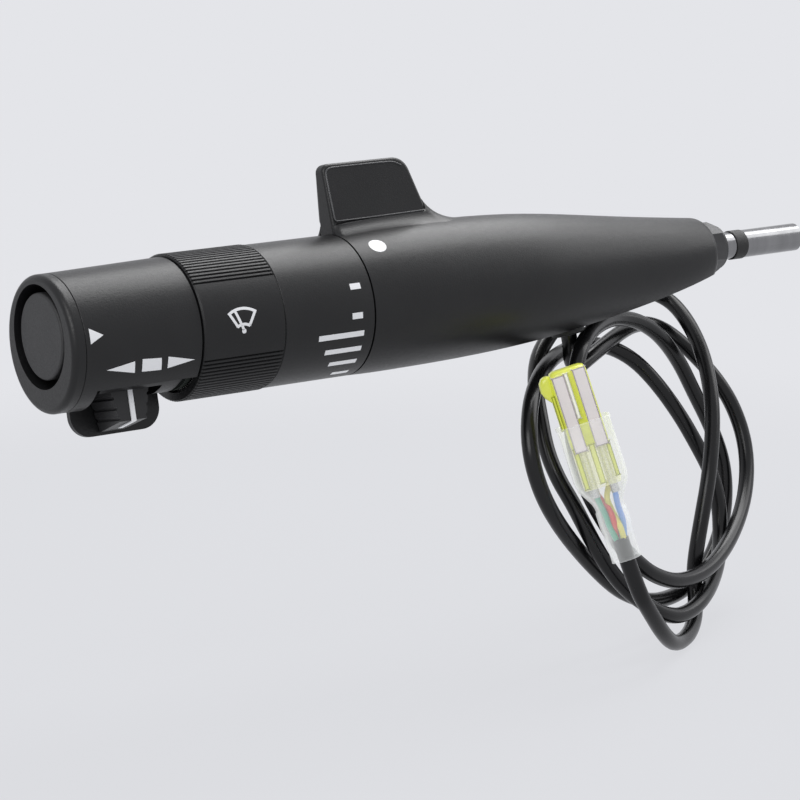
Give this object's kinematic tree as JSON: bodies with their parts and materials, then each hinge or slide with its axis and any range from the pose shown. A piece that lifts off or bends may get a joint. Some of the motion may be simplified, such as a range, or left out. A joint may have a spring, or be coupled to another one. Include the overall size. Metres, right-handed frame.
{
  "type": "combination stalk switch",
  "caption": "Steering column stalk with end push button, thumb rocker, turning wiper ring, thumb paddle, steel mounting rod and cable with plug.",
  "frame": {"origin": "on the mounting rod's axis, where its free stretch begins", "axes": "+X along the stalk to the rod's free end, +Z towards the thumb paddle, -Y towards the wiper pictogram"},
  "size_m": [0.2501, 0.066, 0.1436],
  "materials": {
    "housing_plastic": "fine grained satin black",
    "grip_plastic": "ribbed black",
    "button_plastic": "dull dark grey",
    "knob_plastic": "satin dark grey",
    "pointer_white": "white",
    "inner_plastic": "natural dark",
    "rod_steel": "turned",
    "nut_steel": "blackened",
    "sleeve_brass": "plain",
    "contact_metal": "tinned",
    "board_laminate": "laminate",
    "seal_rubber": "dull",
    "cable_jacket": "smooth black",
    "plug_clear": "clear yellow-green",
    "boot_clear": "clear",
    "wire_green": "plain",
    "wire_red": "plain",
    "wire_yellow": "plain",
    "wire_blue": "plain"
  },
  "bodies": {
    "stalk": {"main_housing": "housing_plastic", "head_cap": "housing_plastic", "end_bezel": "housing_plastic", "selector_housing": "housing_plastic", "support_tube": "inner_plastic", "tube_bush": "inner_plastic", "detent_seat": "inner_plastic", "button_switch": "inner_plastic", "mounting_rod": "rod_steel", "selector_axle": "rod_steel", "detent_ball": "rod_steel", "detent_spring": "rod_steel", "retaining_ring": "rod_steel", "head_screws": "rod_steel", "jam_nut": "nut_steel", "rod_washer": "nut_steel", "rod_sleeve": "sleeve_brass", "crimp_terminals": "contact_metal", "wiper_board": "board_laminate", "rod_seal": "seal_rubber", "cable_grommet": "seal_rubber", "return_dome": "seal_rubber", "cable_inner": "cable_jacket", "cable_outlet": "cable_jacket", "cable_coil": "cable_jacket", "cable_tail": "cable_jacket", "plug_housing": "plug_clear", "plug_boot": "boot_clear", "wire_green": "wire_green", "wire_red": "wire_red", "wire_yellow": "wire_yellow", "wire_blue": "wire_blue"},
    "wiper_grip": {"grip_ring": "grip_plastic", "scale_collar": "housing_plastic", "grip_sleeve": "inner_plastic", "wiper_brush": "contact_metal"},
    "push_button": {"button_cap": "button_plastic", "switch_plunger": "inner_plastic"},
    "selector": {"selector_knob": "knob_plastic", "selector_pointer": "pointer_white"}
  },
  "joints": [
    {"name": "grip_turn", "type": "hinge", "parent": "stalk", "child": "wiper_grip", "pos_m": [-0.18, 0, -0.002], "axis": [-1, 0, 0], "range_deg": [0, 117]},
    {"name": "button_push", "type": "slide", "parent": "stalk", "child": "push_button", "axis": [1, 0, 0], "range_m": [0, 0.0025], "stiffness_N_per_m": 800, "springref_m": -0.001, "deforming": ["return_dome"]},
    {"name": "selector_tilt", "type": "hinge", "parent": "stalk", "child": "selector", "pos_m": [-0.2093, 0, -0.008], "axis": [0, 1, 0], "range_deg": [-12, 12]}
  ]
}
